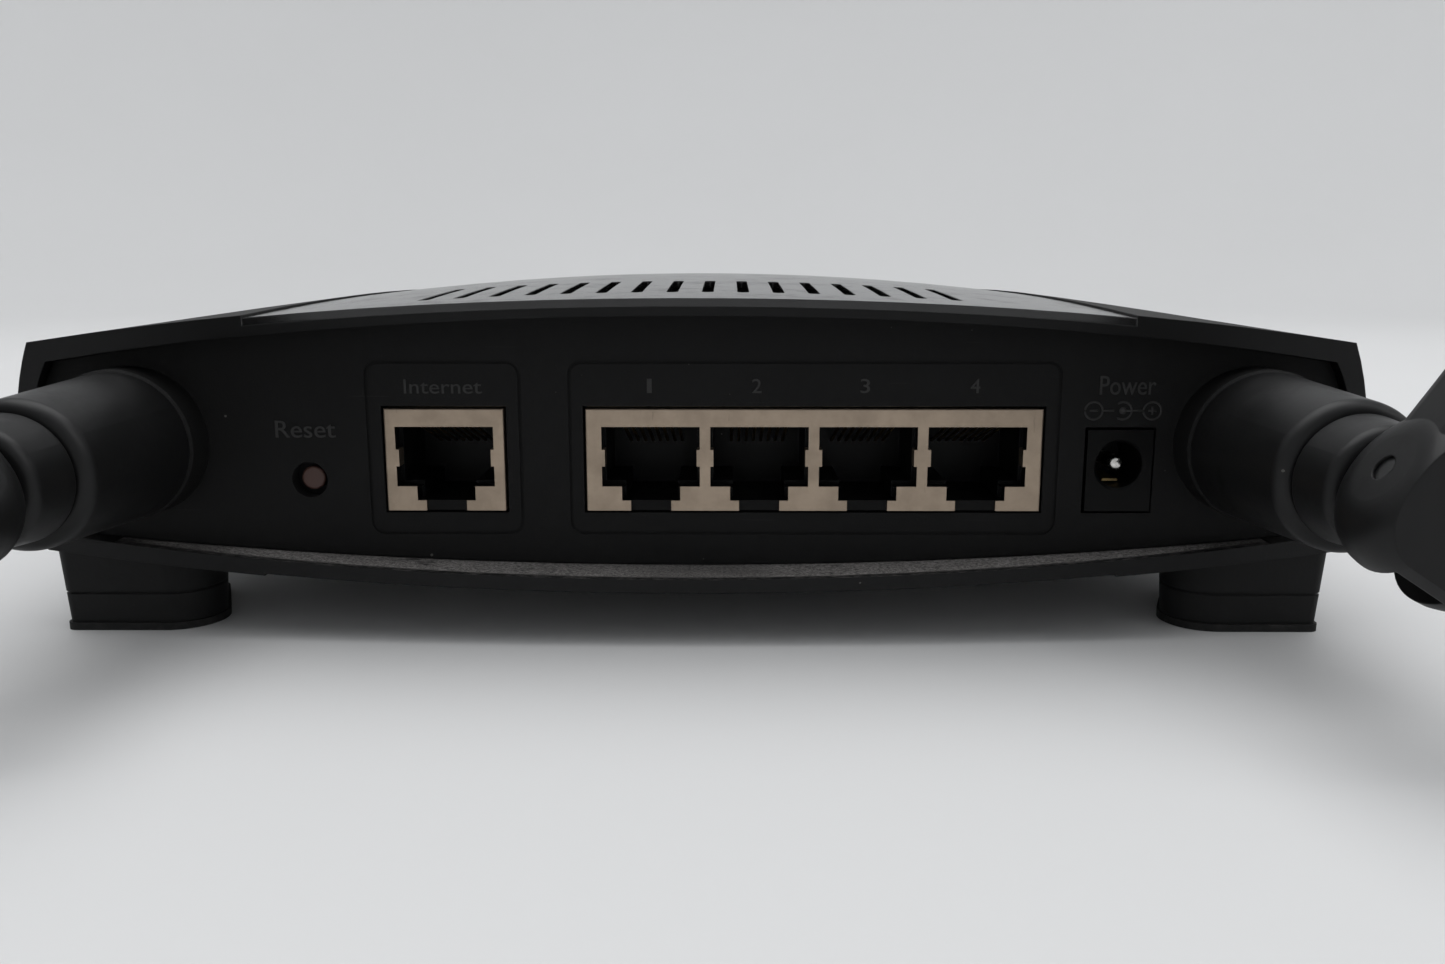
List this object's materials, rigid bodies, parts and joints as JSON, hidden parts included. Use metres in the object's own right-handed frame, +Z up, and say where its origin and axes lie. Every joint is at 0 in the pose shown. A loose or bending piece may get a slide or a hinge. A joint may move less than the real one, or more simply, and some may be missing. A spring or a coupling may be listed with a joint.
{
  "type": "wireless router",
  "caption": "Desktop wireless network router with a curved two-part case, rear modular and power jacks, a recessed reset button and two folding, swivelling antennas.",
  "frame": {"origin": "on the surface that the feet stand on, under the centre of the whole object's box at rest", "axes": "+Z up; +Y towards the jacks and antennas at the rear; -Y towards the status lamps; +X to the right when the lamps are faced from outside looking along +Y"},
  "size_m": [0.2794, 0.17, 0.1269],
  "materials": {
    "case_black": "fine moulded texture, matte",
    "panel_black": "fine moulded texture, matte",
    "insert_black": "smooth satin",
    "foot_black": "fine moulded texture, matte",
    "foot_rubber": "matte rubber",
    "antenna_black": "smooth satin",
    "hinge_pin_black": "satin",
    "jack_nickel": "warm dull nickel plate",
    "jack_black": "semi-gloss moulded",
    "contact_gold": "thin gold plate",
    "pin_nickel": "polished nickel",
    "spring_brass": "bare brass",
    "reset_brown": "matte",
    "smoked_window": "gloss",
    "lamp_clear": "clear moulded",
    "board_green": "solder mask",
    "chip_black": "matte epoxy",
    "heatsink_metal": "anodised",
    "capacitor_can": "drawn can",
    "screw_steel": "zinc plated",
    "lead_black": "thin coaxial jacket"
  },
  "bodies": {
    "case": {"antenna_sockets": "contact_gold", "antenna_washer_left": "foot_rubber", "antenna_washer_right": "foot_rubber", "board_lead_left": "lead_black", "board_lead_right": "lead_black", "board_screws": "screw_steel", "bottom_cover": "case_black", "capacitors": "capacitor_can", "clock_crystal": "pin_nickel", "cover_screws": "screw_steel", "flash_chip": "chip_black", "foot_front_left": "foot_black", "foot_front_right": "foot_black", "foot_pads": "foot_rubber", "foot_rear_left": "foot_black", "foot_rear_right": "foot_black", "heatsink": "heatsink_metal", "indicator_window": "smoked_window", "internet_jack_contacts": "contact_gold", "internet_jack_housing": "jack_black", "internet_jack_shield": "jack_nickel", "jack_transformers": "chip_black", "lan_jack_contacts": "contact_gold", "lan_jack_housing": "jack_black", "lan_jack_shield": "jack_nickel", "light_pipe": "lamp_clear", "main_board": "board_green", "memory_chip": "chip_black", "power_inductor": "chip_black", "power_jack_housing": "jack_black", "power_jack_pin": "pin_nickel", "power_jack_spring": "spring_brass", "processor": "chip_black", "radio_can_left": "jack_nickel", "radio_can_right": "jack_nickel", "rear_panel": "panel_black", "reset_switch": "chip_black", "status_lamps": "lamp_clear", "top_cover": "case_black", "vent_panel": "insert_black"},
    "right_swivel": {"antenna_barrel_right": "antenna_black", "antenna_neck_right": "antenna_black", "antenna_clip_right": "screw_steel", "neck_lead_right": "lead_black"},
    "right_blade": {"antenna_blade_right": "antenna_black", "antenna_cap_right": "antenna_black", "antenna_pin_right": "hinge_pin_black", "antenna_radiator_right": "board_green", "blade_lead_right": "lead_black"},
    "left_swivel": {"antenna_barrel_left": "antenna_black", "antenna_neck_left": "antenna_black", "antenna_clip_left": "screw_steel", "neck_lead_left": "lead_black"},
    "left_blade": {"antenna_blade_left": "antenna_black", "antenna_cap_left": "antenna_black", "antenna_pin_left": "hinge_pin_black", "antenna_radiator_left": "board_green", "blade_lead_left": "lead_black"},
    "reset_key": {"reset_button": "reset_brown"}
  },
  "joints": [
    {"name": "right_antenna_swivel", "type": "hinge", "parent": "case", "child": "right_swivel", "pos_m": [0.0715, 0.03755, 0.0252], "axis": [0, 1, 0], "range_deg": [-123, 57]},
    {"name": "right_antenna_fold", "type": "hinge", "parent": "right_swivel", "child": "right_blade", "pos_m": [0.0715, 0.07975, 0.0252], "axis": [-0.8387, 0, 0.5446], "range_deg": [0, 90]},
    {"name": "left_antenna_swivel", "type": "hinge", "parent": "case", "child": "left_swivel", "pos_m": [-0.0715, 0.03755, 0.0252], "axis": [0, 1, 0], "range_deg": [-57, 123]},
    {"name": "left_antenna_fold", "type": "hinge", "parent": "left_swivel", "child": "left_blade", "pos_m": [-0.0715, 0.07975, 0.0252], "axis": [-0.8387, 0, -0.5446], "range_deg": [0, 90]},
    {"name": "reset_press", "type": "slide", "parent": "case", "child": "reset_key", "axis": [0, -1, 0], "range_m": [0, 0.0004], "stiffness_N_per_m": 2000, "springref_m": -0.0001}
  ]
}
